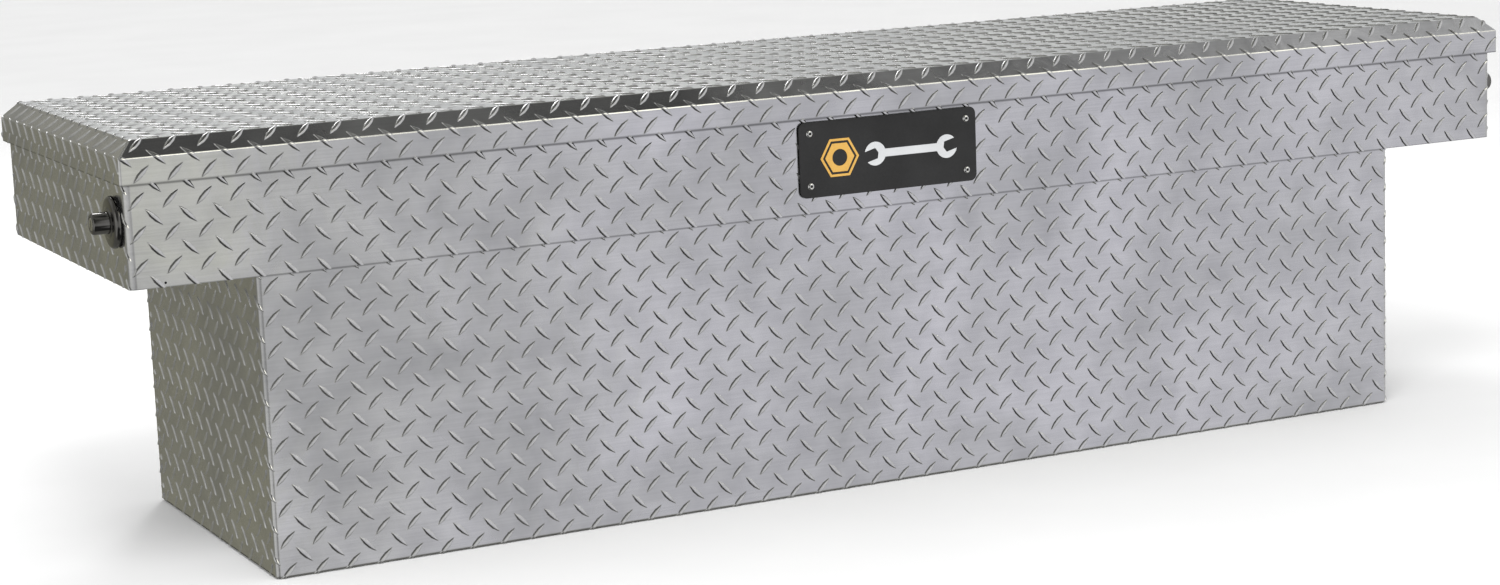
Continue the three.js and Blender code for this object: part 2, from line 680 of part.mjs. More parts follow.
function buildBody() {
  const drains = [tubLeftX + DRAIN.inset, tubRightX - DRAIN.inset];
  const drainHoles = drains.map((x) => {
    const hole = new THREE.CylinderGeometry(DRAIN.hole, DRAIN.hole, 4 * PASS, 20);
    return hole.rotateX(Math.PI / 2).translate(x, 0, 0);
  });
  add(toolBox, 'upper_front_panel', upperFrontPanel(plateHoles()), TREAD_PLATE);
  add(toolBox, 'upper_rear_panel', upperRearPanel(), TREAD_PLATE);
  [-1, 1].forEach((side) => {
    add(toolBox, `${nameOf(side)}_end_panel`, endPanel(side), TREAD_PLATE);
    add(toolBox, `${nameOf(side)}_saddle_panel`, saddlePanel(side), TREAD_PLATE);
  });
  add(toolBox, 'tub_wrap', tubWrap(drainHoles), TREAD_PLATE);
  drains.forEach((x, i) => add(toolBox, `${nameOf(i - 0.5)}_drain_plug`, drainPlug(), RUBBER, [x, 0, 0]));
  add(toolBox, 'weather_seal', weatherSeal(), RUBBER);
  add(toolBox, 'name_plate', namePlate(), PLATE_BLACK);
  plateRivetPlaces().forEach(([x, z], i) => {
    add(toolBox, `name_plate_rivet_${i + 1}`, plateRivet(), MILL_SHEET, [x, frontY, z]);
  });
}

function buildLid() {
  const lid = new THREE.Group();
  lid.position.set(0, axisY, axisZ);
  add(lid, 'hinge_body_leaf', hingeLeaf(-1, BODY_LEAF_REACH, 0), MILL_SHEET);
  add(lid, 'hinge_pin', hingePin(), ZINC_STEEL);
  add(lid, 'hinge_lid_leaf', hingeLeaf(1, LID_LEAF_REACH, 1), MILL_SHEET);
  add(lid, 'lid_shell', lidShell(), TREAD_PLATE);
  add(lid, 'lid_stiffener', lidStiffener(), MILL_SHEET);
  [-1, 1].forEach((side) => {
    add(lid, `${nameOf(side)}_striker`, striker(), ZINC_STEEL, [side * STRIKER.x, 0, 0]);
    add(lid, `${nameOf(side)}_strut_lid_bracket`, strutLidBracket(side), ZINC_STEEL);
  });
  toolBox.add(lid);
}

function buildLock(side) {
  const lock = new THREE.Group();
  lock.position.set(side * endX, lockY, lockZ);
  lock.rotation.z = side < 0 ? Math.PI : 0;
  // The right nose stops short of its trip arm by the button's travel.
  const noseTip = leftNoseTip() + (side < 0 ? 0 : TRIP_ARM.lostMotion);
  add(lock, `${nameOf(side)}_lock_gasket`, lockGasket(), RUBBER);
  add(lock, `${nameOf(side)}_lock_escutcheon`, lockEscutcheon(), BLACK_CHROME);
  add(lock, `${nameOf(side)}_lock_nut`, lockNut(), ZINC_STEEL);
  add(lock, `${nameOf(side)}_push_button`, pushButton(noseTip), BLACK_CHROME);
  add(lock, `${nameOf(side)}_key_cylinder`, keyCylinder(), POLISHED_ROD);
  add(lock, `${nameOf(side)}_button_spring`, buttonSpring(), ZINC_STEEL);
  toolBox.add(lock);
}

function buildRelease() {
  const shaft = new THREE.Group();
  shaft.position.set(0, SHAFT.y, SHAFT.z);
  const half = Math.abs(tripArmX(1)) + TRIP_ARM.thickness;
  add(shaft, 'release_shaft', barX(SHAFT.radius, [-half, half], 0, 0, 16), ZINC_STEEL);
  [-1, 1].forEach((side) => {
    add(shaft, `${nameOf(side)}_latch_hook`, latchHook(), ZINC_STEEL, [side * STRIKER.x, 0, 0]);
    add(shaft, `${nameOf(side)}_trip_arm`, tripArm(), ZINC_STEEL, [tripArmX(side), 0, 0]);
  });
  add(shaft, 'shaft_return_spring', returnSpring(), ZINC_STEEL, [BRACKETS[1] + 6, 0, 0]);
  toolBox.add(shaft);
  const bracketNames = ['left', 'middle', 'right'];
  BRACKETS.forEach((x, i) => {
    add(toolBox, `${bracketNames[i]}_shaft_bracket`, shaftBracket(x), ZINC_STEEL);
  });
}

function buildStrut(side) {
  const pivot = new THREE.Group();
  pivot.position.set(side * STRUT_X, axisY + STRUT_BODY[0], axisZ + STRUT_BODY[1]);
  const strut = new THREE.Group();
  strut.rotation.x = strutLine().angle;
  add(pivot, `${nameOf(side)}_strut_body_mount`, strutBodyMount(side), ZINC_STEEL);
  add(strut, `${nameOf(side)}_strut_cylinder`, strutCylinder(side), BLACK_STEEL);
  add(strut, `${nameOf(side)}_strut_rod`, strutRod(side), POLISHED_ROD);
  add(strut, `${nameOf(side)}_strut_lid_stud`, strutLidStud(side), ZINC_STEEL, [0, strutLine().length, 0]);
  pivot.add(strut);
  toolBox.add(pivot);
}

buildBody();
buildLid();
buildRelease();
[-1, 1].forEach((side) => {
  buildLock(side);
  buildStrut(side);
});

export default toolBox;
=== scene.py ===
# Truck tool box: the looks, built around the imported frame. Metres, +Z up, the front at -Y.
import json
import math

import bmesh
import bpy
import numpy as np
from mathutils import Matrix, Vector


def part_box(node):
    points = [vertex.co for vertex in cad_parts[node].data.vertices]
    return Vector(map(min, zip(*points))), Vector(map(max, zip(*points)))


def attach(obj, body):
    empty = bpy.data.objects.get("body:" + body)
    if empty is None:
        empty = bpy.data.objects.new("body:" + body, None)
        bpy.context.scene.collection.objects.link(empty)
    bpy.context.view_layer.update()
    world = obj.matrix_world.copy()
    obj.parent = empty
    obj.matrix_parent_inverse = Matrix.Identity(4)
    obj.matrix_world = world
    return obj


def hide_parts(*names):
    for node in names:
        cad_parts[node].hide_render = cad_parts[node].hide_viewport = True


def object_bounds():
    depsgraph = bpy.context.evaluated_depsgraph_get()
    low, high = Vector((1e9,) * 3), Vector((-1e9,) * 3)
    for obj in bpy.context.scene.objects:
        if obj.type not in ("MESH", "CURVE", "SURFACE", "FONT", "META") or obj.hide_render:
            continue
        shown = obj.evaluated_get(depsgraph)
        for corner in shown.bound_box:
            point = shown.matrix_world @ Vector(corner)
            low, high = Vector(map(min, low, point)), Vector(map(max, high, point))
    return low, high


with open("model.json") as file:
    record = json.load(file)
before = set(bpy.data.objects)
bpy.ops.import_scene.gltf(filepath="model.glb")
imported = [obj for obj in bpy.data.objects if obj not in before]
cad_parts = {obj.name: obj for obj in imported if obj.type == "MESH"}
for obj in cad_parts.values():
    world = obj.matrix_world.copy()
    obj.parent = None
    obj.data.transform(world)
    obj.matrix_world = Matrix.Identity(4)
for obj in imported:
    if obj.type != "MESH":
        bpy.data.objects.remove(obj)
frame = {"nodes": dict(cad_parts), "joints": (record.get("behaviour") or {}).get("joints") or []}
cad_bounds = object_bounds()

# ---- sizes that the looks add to the frame ----
BEND = 0.005  # outer radius of the tub's bends
TRAY_CORNER = 0.008  # outer radius of the upper body's vertical corners
CORNER_RETURN = 0.012  # how far a front or rear sheet turns round them
LID_FOLD = 0.004  # outer radius of the lid's folds
BEND_STEPS = 6
SEAM = 0.0003
RIM_MARGIN = 0.002  # bare strip under the body's rim
HINGE_MARGIN = 0.001  # bare strip under the hinge's body leaf
CELL = (0.0351, 0.0336)  # the tread repeats at this pitch
LUG_LENGTH = 0.0255
LUG_WIDTH = 0.0058
LUG_HEIGHT = 0.00125
# A lug from its foot, inside the sheet, to its crown: share of length, share of width, height.
LUG_RINGS = ((1.05, 1.22, -0.0003), (1.0, 1.0, 0.00012), (0.9, 0.7, 0.00088), (0.7, 0.3, LUG_HEIGHT))
LUG_SIDES = 10
BODY_PHASE = {"rising": (-0.0171, 0.4092), "falling": (0.0003, 0.3923)}
TUB_PHASE = {"rising": (-0.0236, 0.4092), "falling": (-0.0062, 0.3923)}
LID_PHASE = {"rising": (0.0232, 0.0102), "falling": (0.0056, 0.027)}

lid_low, lid_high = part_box("lid_shell")
front_low, front_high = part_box("upper_front_panel")
rear_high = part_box("upper_rear_panel")[1]
tub_low, tub_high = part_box("tub_wrap")
TRAY_FLOOR = front_low.z
RIM = front_high.z
SIDES = {"left": -1, "right": 1}


# ---- materials ----
class Look:
    """A procedural material: one Principled shader and the textures that feed it."""

    def __init__(self, name, metallic=0.0, **sockets):
        self.material = bpy.data.materials.new(name)
        self.material.use_nodes = True
        self.tree = self.material.node_tree
        self.shader = self.tree.nodes["Principled BSDF"]
        self.shader.inputs["Metallic"].default_value = metallic
        for socket, value in sockets.items():
            self.shader.inputs[socket.replace("_", " ")].default_value = value
        self.place = self.tree.nodes.new("ShaderNodeTexCoord").outputs["Object"]

    def link(self, start, end):
        self.tree.links.new(start, end)

    def noise(self, scale, detail=2.0, stretch=(1, 1, 1), distortion=0.0):
        """Noise with this many features to the metre, drawn out along an axis by its stretch."""
        mapping = self.tree.nodes.new("ShaderNodeMapping")
        mapping.inputs["Scale"].default_value = stretch
        self.link(self.place, mapping.inputs["Vector"])
        texture = self.tree.nodes.new("ShaderNodeTexNoise")
        texture.inputs["Scale"].default_value = scale
        texture.inputs["Detail"].default_value = detail
        texture.inputs["Distortion"].default_value = distortion
        self.link(mapping.outputs["Vector"], texture.inputs["Vector"])
        return texture.outputs["Fac"]

    def ramp(self, value, stops):
        node = self.tree.nodes.new("ShaderNodeValToRGB")
        for _ in stops[2:]:
            node.color_ramp.elements.new(0.5)
        for element, (place, colour) in zip(node.color_ramp.elements, stops):
            element.position = place
            element.color = (*colour, 1)
        self.link(value, node.inputs["Fac"])
        return node.outputs["Color"]

    def ranged(self, value, start, end):
        """Maps one pair of numbers to the other, and holds still beyond both ends."""
        node = self.tree.nodes.new("ShaderNodeMapRange")
        for socket, number in zip(("From Min", "From Max", "To Min", "To Max"), (*start, *end)):
            node.inputs[socket].default_value = number
        self.link(value, node.inputs["Value"])
        return node.outputs["Result"]

    def line(self, level, half, darkness):
        """1 everywhere but near this height, where it falls to the darkness."""
        split = self.tree.nodes.new("ShaderNodeSeparateXYZ")
        self.link(self.place, split.inputs["Vector"])
        apart = self.tree.nodes.new("ShaderNodeMath")
        apart.operation = "SUBTRACT"
        apart.inputs[1].default_value = level
        self.link(split.outputs["Z"], apart.inputs[0])
        distance = self.tree.nodes.new("ShaderNodeMath")
        distance.operation = "ABSOLUTE"
        self.link(apart.outputs[0], distance.inputs[0])
        return self.ranged(distance.outputs[0], (half * 0.6, half * 1.6), (darkness, 1))

    def blend(self, how, share, first, second):
        node = self.tree.nodes.new("ShaderNodeMix")
        node.data_type = "RGBA"
        node.blend_type = how
        node.inputs["Factor"].default_value = share
        self.link(first, node.inputs[6])
        self.link(second, node.inputs[7])
        return node.outputs[2]

    def spread(self, value, low, high):
        """A noise texture as a number from low to high."""
        return self.ranged(value, (0.3, 0.7), (low, high))

    def colour(self, value):
        self.link(value, self.shader.inputs["Base Color"])

    def roughness(self, value):
        self.link(value, self.shader.inputs["Roughness"])

    def bump(self, *layers):
        """Stacks bumps, each a (texture, strength, height in metres)."""
        before = None
        for height, strength, distance in layers:
            node = self.tree.nodes.new("ShaderNodeBump")
            node.inputs["Strength"].default_value = strength
            node.inputs["Distance"].default_value = distance
            self.link(height, node.inputs["Height"])
            if before is not None:
                self.link(before, node.inputs["Normal"])
            before = node.outputs["Normal"]
        self.link(before, self.shader.inputs["Normal"])


def tread_sheet(name, shaded_seams=()):
    """Bright rolled sheet, handled and a little hazy, with painted shade along the lid skirt's edge and its
    lapped seams.
    """
    look = Look(name, metallic=1.0)
    clouds = look.noise(5.5, detail=5, distortion=0.6)
    haze = look.noise(26, detail=4)
    grain = look.noise(90, detail=3, stretch=(0.12, 1, 6))
    base = look.ramp(clouds, [(0.32, (0.67, 0.675, 0.685)), (0.68, (0.88, 0.88, 0.882))])
    veil = look.ramp(haze, [(0.3, (0.85, 0.85, 0.86)), (0.7, (1, 1, 1))])
    streaks = look.ramp(grain, [(0.3, (0.92, 0.92, 0.92)), (0.7, (1, 1, 1))])
    colour = look.blend("MULTIPLY", 1.0, look.blend("MULTIPLY", 1.0, base, veil), streaks)
    # Painted shade: a darker line at each seam's height stands in for the shadow under the lid skirt and the
    # lapped edge.
    for shaded_seam in shaded_seams:
        colour = look.blend("MULTIPLY", 1.0, colour, look.line(*shaded_seam))
    look.colour(colour)
    look.roughness(look.spread(clouds, 0.36, 0.16))
    look.bump((clouds, 0.35, 0.006), (grain, 0.12, 0.0002))
    return look.material


def lug_crown():
    look = Look("lug_crown", metallic=1.0)
    scuffs = look.noise(160, detail=3)
    look.colour(look.ramp(scuffs, [(0.3, (0.7, 0.7, 0.705)), (0.7, (0.84, 0.84, 0.843))]))
    look.roughness(look.spread(look.noise(5.5, detail=5, distortion=0.6), 0.34, 0.14))
    look.bump((scuffs, 0.15, 0.0002))
    return look.material


def mill_sheet():
    look = Look("mill_sheet", metallic=1.0)
    grain = look.noise(60, detail=4, stretch=(0.08, 1, 1))
    clouds = look.noise(7, detail=3)
    fine = look.ramp(grain, [(0.3, (0.66, 0.665, 0.675)), (0.7, (0.82, 0.82, 0.83))])
    veil = look.ramp(clouds, [(0.3, (0.88, 0.88, 0.88)), (0.7, (1, 1, 1))])
    look.colour(look.blend("MULTIPLY", 1.0, fine, veil))
    look.roughness(look.spread(grain, 0.34, 0.46))
    look.bump((grain, 0.12, 0.0003))
    return look.material


def zinc_steel():
    look = Look("zinc_steel", metallic=1.0)
    spangle = look.noise(120, detail=3, distortion=1.5)
    stops = [(0.3, (0.42, 0.43, 0.44)), (0.6, (0.6, 0.61, 0.62)), (0.8, (0.64, 0.63, 0.58))]
    look.colour(look.ramp(spangle, stops))
    look.roughness(look.spread(spangle, 0.3, 0.44))
    look.bump((spangle, 0.1, 0.0002))
    return look.material


def chrome(name, dark, light, rough):
    look = Look(name, metallic=1.0)
    film = look.noise(70, detail=3)
    look.colour(look.ramp(film, [(0.3, dark), (0.7, light)]))
    look.roughness(look.spread(film, rough * 0.8, rough * 1.2))
    look.bump((film, 0.03, 0.0002))
    return look.material


def paint(name, dark, light, rough, grain_scale=400):
    look = Look(name)
    grain = look.noise(grain_scale, detail=3)
    clouds = look.noise(18, detail=3)
    look.colour(look.ramp(clouds, [(0.3, dark), (0.7, light)]))
    look.roughness(look.spread(grain, rough - 0.06, rough + 0.06))
    look.bump((grain, 0.2, 0.00008))
    return look.material


# Painted shade lines (height, half width, darkness): under the lid skirt's bottom edge and along the lap
# seam.
SKIRT_SEAM_SHADE = (lid_low.z - 0.0006, 0.0015, 0.42)
LAP_SEAM_SHADE = (TRAY_FLOOR - 0.0003, 0.001, 0.55)
TREAD = tread_sheet("tread_sheet", [SKIRT_SEAM_SHADE])
LAPPED_TREAD = tread_sheet("lapped_tread_sheet", [SKIRT_SEAM_SHADE, LAP_SEAM_SHADE])
LUG = lug_crown()
MILL = mill_sheet()
ZINC = zinc_steel()
ROD = chrome("polished_rod", (0.74, 0.75, 0.76), (0.84, 0.85, 0.86), 0.1)
KEY = chrome("key_cylinder", (0.5, 0.49, 0.46), (0.66, 0.65, 0.61), 0.24)
BLACK_CHROME = chrome("black_chrome", (0.17, 0.165, 0.16), (0.25, 0.245, 0.24), 0.09)
BRIGHT = chrome("bright_rivet", (0.84, 0.84, 0.84), (0.92, 0.92, 0.92), 0.2)
BLACK_STEEL = paint("black_steel", (0.012, 0.012, 0.013), (0.022, 0.022, 0.023), 0.34)
PLATE = paint("plate_black", (0.014, 0.014, 0.0145), (0.022, 0.022, 0.0225), 0.55)
RUBBER = paint("rubber", (0.013, 0.013, 0.013), (0.024, 0.024, 0.024), 0.72, grain_scale=900)
# Painted shade: the rivet's bore and mandrel stub take a near-black finish for the shade inside the hole.
RECESS_SHADE = paint("rivet_recess_shade", (0.01, 0.01, 0.01), (0.03, 0.03, 0.03), 0.6)
GOLD = paint("emblem_gold", (0.60, 0.33, 0.06), (0.72, 0.42, 0.09), 0.42)
IVORY = paint("emblem_light", (0.58, 0.59, 0.6), (0.66, 0.67, 0.68), 0.42)


# ---- meshes ----
def add_object(name, data):
    """A new object in the scene that holds this mesh, curve, light or camera."""
    made = bpy.data.objects.new(name, data)
    bpy.context.scene.collection.objects.link(made)
    return made


def object_from(name, mesh, body, materials, replaces=()):
    piece = add_object(name, mesh)
    for material in materials:
        mesh.materials.append(material)
    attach(piece, body)
    if replaces:
        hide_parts(*replaces)
    return piece


def finished_mesh(bm, name, angle=34):
    """Shades the mesh smooth, but for the edges that turn by more than the angle."""
    bm.normal_update()
    for face in bm.faces:
        face.smooth = True
    for edge in bm.edges:
        edge.smooth = len(edge.link_faces) == 2 and edge.calc_face_angle(math.pi) < math.radians(angle)
    mesh = bpy.data.meshes.new(name)
    bm.to_mesh(mesh)
    bm.free()
    return mesh


class Fold:
    """A sheet's outer face in section: flat runs joined by rounded bends.
    Lengths along it are counted from the flat point zero; side says where outside is, 1 for right."""

    def __init__(self, corners, radius, zero, side=1):
        corners = [Vector(c) for c in corners]
        points, normals, bends = [corners[0]], [], []

        def outward(along):
            return Vector((along.y, -along.x)) * side

        start_along = (corners[1] - corners[0]).normalized()
        normals.append(outward(start_along))
        for before, corner, after in zip(corners, corners[1:], corners[2:]):
            a, b = (corner - before).normalized(), (after - corner).normalized()
            turn = math.atan2(a.x * b.y - a.y * b.x, a.dot(b))
            start = corner - a * radius * math.tan(abs(turn) / 2)
            inward = Vector((-a.y, a.x)) * math.copysign(1, turn)
            centre = start + inward * radius
            for k in range(BEND_STEPS + 1):
                spin = Matrix.Rotation(turn * k / BEND_STEPS, 2)
                points.append(centre + spin @ (start - centre))
                normals.append(outward(spin @ a))
                bends.append(len(points) - 1)
        points.append(corners[-1])
        normals.append(outward((corners[-1] - corners[-2]).normalized()))
        self.points = np.array([tuple(p) for p in points])
        self.normals = np.array([tuple(n) for n in normals])
        steps = np.linalg.norm(np.diff(self.points, axis=0), axis=1)
        self.lengths = np.concatenate([[0], np.cumsum(steps)])
        self.lengths -= self.find(zero)
        self.bends = [self.lengths[i] for i in bends]

    def find(self, place):
        """The length at the point of the fold that is nearest to place."""
        best = (1e9, 0)
        for i, (a, b) in enumerate(zip(self.points, self.points[1:])):
            run = b - a
            share = float(np.clip((np.array(place) - a) @ run / (run @ run), 0, 1))
            gap = float(np.linalg.norm(a + run * share - np.array(place)))
            best = min(best, (gap, self.lengths[i] + share * np.linalg.norm(run)))
        return best[1]

    def at(self, length, height):
        """Points that far along the face and that high above it."""
        across = [np.interp(length, self.lengths, self.points[:, i]) for i in (0, 1)]
        normal = [np.interp(length, self.lengths, self.normals[:, i]) for i in (0, 1)]
        return across[0] + normal[0] * height, across[1] + normal[1] * height


def lug_template():
    """One lug along X: its vertices, and its faces with the material each takes."""
    vertices, faces = [], []
    for length_share, width_share, height in LUG_RINGS:
        for k in range(LUG_SIDES):
            angle = 2 * math.pi * k / LUG_SIDES
            along = LUG_LENGTH / 2 * length_share * math.cos(angle)
            across = LUG_WIDTH / 2 * width_share * math.sin(angle) * abs(math.sin(angle))
            vertices.append((along, across, height))
    for ring in range(len(LUG_RINGS) - 1):
        for k in range(LUG_SIDES):
            a, b = ring * LUG_SIDES + k, ring * LUG_SIDES + (k + 1) % LUG_SIDES
            faces.append((a, b, b + LUG_SIDES, a + LUG_SIDES))
    last = (len(LUG_RINGS) - 1) * LUG_SIDES
    faces.append(tuple(range(last, last + LUG_SIDES)))
    faces.append(tuple(reversed(range(LUG_SIDES))))
    return np.array(vertices), faces


LUG_VERTICES, LUG_FACES = lug_template()


def centres(phase, low, high):
    """Lattice points of one phase in a rectangle."""
    found = []
    counts = [
        range(math.ceil((low[i] - phase[i]) / CELL[i]), math.floor((high[i] - phase[i]) / CELL[i]) + 1)
        for i in (0, 1)
    ]
    for i in counts[0]:
        for j in counts[1]:
            found.append((phase[0] + i * CELL[0], phase[1] + j * CELL[1]))
    return found


def trimmed(bm, cuts, edges):
    """Cuts a few lugs at lines: at cuts they only gain vertices, outside edges they are cut away."""
    for place, normal, clear in [(*c, False) for c in cuts] + [(*e, True) for e in edges]:
        bmesh.ops.bisect_plane(
            bm, geom=bm.verts[:] + bm.edges[:] + bm.faces[:], dist=1e-7,
            plane_co=(*place, 0), plane_no=(*normal, 0), clear_outer=clear,
        )
        if clear:
            bmesh.ops.holes_fill(bm, edges=[e for e in bm.edges if e.is_boundary])


def tread(bm, region, phases, place, cuts=(), bare=()):
    """Adds the raised tread of one region of a sheet to its mesh. The region is a convex outline,
    anticlockwise in the flat sheet; cuts are the lengths of its bends as (axis, length); bare lists
    the places that stay flat as (point, radius)."""
    outline = [Vector(p) for p in region]
    edges = []
    for a, b in zip(outline, outline[1:] + outline[:1]):
        run = (b - a).normalized()
        edges.append((a, Vector((run.y, -run.x))))
    lines = [
        (Vector((value, 0)), Vector((1, 0))) if axis == 0 else (Vector((0, value)), Vector((0, 1)))
        for axis, value in cuts
    ]
    low = [min(p[i] for p in outline) - LUG_LENGTH / 2 for i in (0, 1)]
    high = [max(p[i] for p in outline) + LUG_LENGTH / 2 for i in (0, 1)]
    whole, cut_lugs = [], bmesh.new()
    for name, phase in phases.items():
        turn = math.copysign(math.pi / 4, 1 if name == "rising" else -1)
        spin = np.array([[math.cos(turn), -math.sin(turn)], [math.sin(turn), math.cos(turn)]])
        flat = LUG_VERTICES[:, :2] @ spin.T
        for centre in centres(phase, low, high):
            if any((Vector(centre) - Vector(p)).length < radius for p, radius in bare):
                continue
            lug = np.column_stack([flat + centre, LUG_VERTICES[:, 2]])
            gaps = [[(Vector(v[:2]) - a).dot(n) for v in lug] for a, n in edges]
            if any(min(g) >= 0 for g in gaps):
                continue
            crossed = any(max(g) > 0 for g in gaps)
            for spot, normal in lines:
                sides = [(Vector(v[:2]) - spot).dot(normal) for v in lug]
                crossed = crossed or min(sides) < 0 < max(sides)
            if not crossed:
                whole.append(lug)
                continue
            made = [cut_lugs.verts.new(v) for v in lug]
            for face in LUG_FACES:
                cut_lugs.faces.new([made[i] for i in face])
    trimmed(cut_lugs, lines, edges)
    cut_lugs.verts.index_update()
    points = [np.concatenate(whole)] if whole else []
    faces = [[i + n * len(LUG_VERTICES) for i in face] for n in range(len(whole)) for face in LUG_FACES]
    first = len(whole) * len(LUG_VERTICES)
    if cut_lugs.verts:
        points.append(np.array([tuple(v.co) for v in cut_lugs.verts]))
        faces += [[v.index + first for v in f.verts] for f in cut_lugs.faces]
    cut_lugs.free()
    if not points:
        return
    flat = np.concatenate(points)
    placed = np.column_stack(place(flat[:, 0], flat[:, 1], flat[:, 2]))
    made = [bm.verts.new(p) for p in placed]
    for face in faces:
        new = bm.faces.new([made[i] for i in face])
        new.material_index = 1


def rectangle(low, high):
    return [(low[0], low[1]), (high[0], low[1]), (high[0], high[1]), (low[0], high[1])]


def sheet_mesh(node):
    """A copy of a CAD sheet, whose faces that look inwards take the mill finish."""
    source = frame["nodes"][node].data
    bm = bmesh.new()
    verts = [bm.verts.new(v.co) for v in source.vertices]
    for polygon in source.polygons:
        bm.faces.new([verts[i] for i in polygon.vertices])
    bm.normal_update()
    bmesh.ops.remove_doubles(bm, verts=bm.verts[:], dist=1e-6)
    inside = Vector((0, 0, (TRAY_FLOOR + lid_high.z) / 2))
    for face in bm.faces:
        outwards = face.normal.dot(face.calc_center_median() - inside) > 0
        face.material_index = 0 if outwards else 2
    return bm


def finish_sheet(bm, node, body, sheet=None):
    mesh = finished_mesh(bm, node + "_tread")
    piece = object_from(node + "_tread", mesh, body, [sheet or TREAD, LUG, MILL], [node])
    weighted = piece.modifiers.new("weighted", "WEIGHTED_NORMAL")
    weighted.keep_sharp = True
    weighted.weight = 100


def build_front():
    end, face = front_high.x, front_low.y
    back = face + CORNER_RETURN
    plan = Fold([(-end, back), (-end, face), (end, face), (end, back)], TRAY_CORNER, (0, face))
    bm = sheet_mesh("upper_front_panel")
    tread(
        bm, rectangle((plan.lengths[0], TRAY_FLOOR), (plan.lengths[-1], RIM - RIM_MARGIN)), BODY_PHASE,
        lambda p, q, h: (*plan.at(p, h), q), [(0, b) for b in plan.bends],
    )
    finish_sheet(bm, "upper_front_panel", "box", LAPPED_TREAD)


def build_rear():
    end, face = rear_high.x, rear_high.y
    near = face - CORNER_RETURN
    plan = Fold([(end, near), (end, face), (-end, face), (-end, near)], TRAY_CORNER, (0, face))
    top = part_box("hinge_body_leaf")[0].z - HINGE_MARGIN
    bm = sheet_mesh("upper_rear_panel")
    tread(
        bm, rectangle((plan.lengths[0], TRAY_FLOOR), (plan.lengths[-1], top)), BODY_PHASE,
        lambda p, q, h: (*plan.at(p, h), q), [(0, b) for b in plan.bends],
    )
    finish_sheet(bm, "upper_rear_panel", "box", LAPPED_TREAD)


def build_end(name, side):
    node = name + "_end_panel"
    low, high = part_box(node)
    face = high.x if side > 0 else low.x
    across = sorted((side * low.y, side * high.y))
    lock_low, lock_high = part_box(name + "_lock_escutcheon")
    lock = (lock_low + lock_high) / 2
    spread = (lock_high.z - lock_low.z) / 2 + LUG_LENGTH / 3
    bm = sheet_mesh(node)
    # Seen from outside, the flat sheet's first axis runs to the right.
    tread(
        bm, rectangle((across[0], TRAY_FLOOR), (across[1], RIM - RIM_MARGIN)), BODY_PHASE,
        lambda p, q, h: (face + side * h, side * p, q), bare=[((side * lock.y, lock.z), spread)],
    )
    finish_sheet(bm, node, "box")


def build_saddle(name, side):
    node = name + "_saddle_panel"
    low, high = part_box(node)
    tub_x = tub_low.x if side < 0 else tub_high.x
    outer = low.x if side < 0 else high.x
    bottom = low.z
    path = [(outer, TRAY_FLOOR), (tub_x, TRAY_FLOOR), (tub_x, bottom)]
    section = Fold(path, BEND, (tub_x, bottom), side=-side)
    top = section.find((tub_x - 0.01 * -side, TRAY_FLOOR))
    wall_y = [tub_low.y + CORNER_RETURN + SEAM, tub_high.y - CORNER_RETURN - SEAM]
    bm = sheet_mesh(node)

    def place(p, q, h):
        x, z = section.at(-q, h)
        return x, side * p, z

    def region(y, q):
        ends = sorted((side * y[0], side * y[1]))
        return rectangle((ends[0], q[0]), (ends[1], q[1]))

    cuts = [(1, -b) for b in section.bends]
    tread(bm, region(wall_y, (0, -top)), TUB_PHASE, place, cuts)
    floor_y = (low.y + TRAY_CORNER, high.y - TRAY_CORNER)
    tread(bm, region(floor_y, (-top, -section.lengths[0])), TUB_PHASE, place)
    finish_sheet(bm, node, "box")


def build_tub():
    face, back = tub_low.y, tub_high.y
    edge = 0.0025
    bm = sheet_mesh("tub_wrap")
    rim = [
        e for e in bm.edges
        if all(abs(v.co.z - tub_low.z) < 1e-5 for v in e.verts) and len(e.link_faces) == 2
        and sorted(round(abs(f.normal.z)) for f in e.link_faces) == [0, 1]
        and any(abs(f.normal.z) < 0.1 and f.normal.dot(f.calc_center_median()) > 0 for f in e.link_faces)
    ]
    bmesh.ops.bevel(bm, geom=rim, offset=edge, segments=4, profile=0.5, affect="EDGES")
    top = TRAY_FLOOR - 0.0001
    height = 0.1  # level of the front face where lengths along the strip are counted from
    section = Fold([(face, top), (face, 0), (back, 0), (back, top)], edge, (face, height))
    drains = [sum((Vector(c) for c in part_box(n + "_drain_plug")), Vector()) / 2 for n in SIDES]
    clear = 0.03  # no lugs this near to a drain plug

    def strip(p, q, h):
        y, z = section.at(height - q, h)
        return p, y, z

    floor = section.lengths[-1]
    flat = (tub_low.x + BEND, tub_high.x - BEND)
    bare = [((d.x, height - section.find((d.y, 0))), clear) for d in drains]
    tread(
        bm, rectangle((flat[0], height - floor), (flat[1], height - section.lengths[0])), TUB_PHASE, strip,
        [(1, height - b) for b in section.bends], bare,
    )
    for y, out in ((face, -1), (back, 1)):
        end = y - out * CORNER_RETURN
        path = [(tub_low.x, end), (tub_low.x, y), (tub_high.x, y), (tub_high.x, end)]
        plan = Fold(path, BEND, (0, y), side=-out)
        for low, high in ((plan.lengths[0], flat[0]), (flat[1], plan.lengths[-1])):
            if out < 0:
                tread(
                    bm, rectangle((low, edge), (high, top)), TUB_PHASE,
                    lambda p, q, h: (*plan.at(p, h), q), [(0, b) for b in plan.bends],
                )
            else:
                tread(
                    bm, rectangle((-high, edge), (-low, top)), TUB_PHASE,
                    lambda p, q, h: (*plan.at(-p, h), q), [(0, -b) for b in plan.bends],
                )
    finish_sheet(bm, "tub_wrap", "box", LAPPED_TREAD)


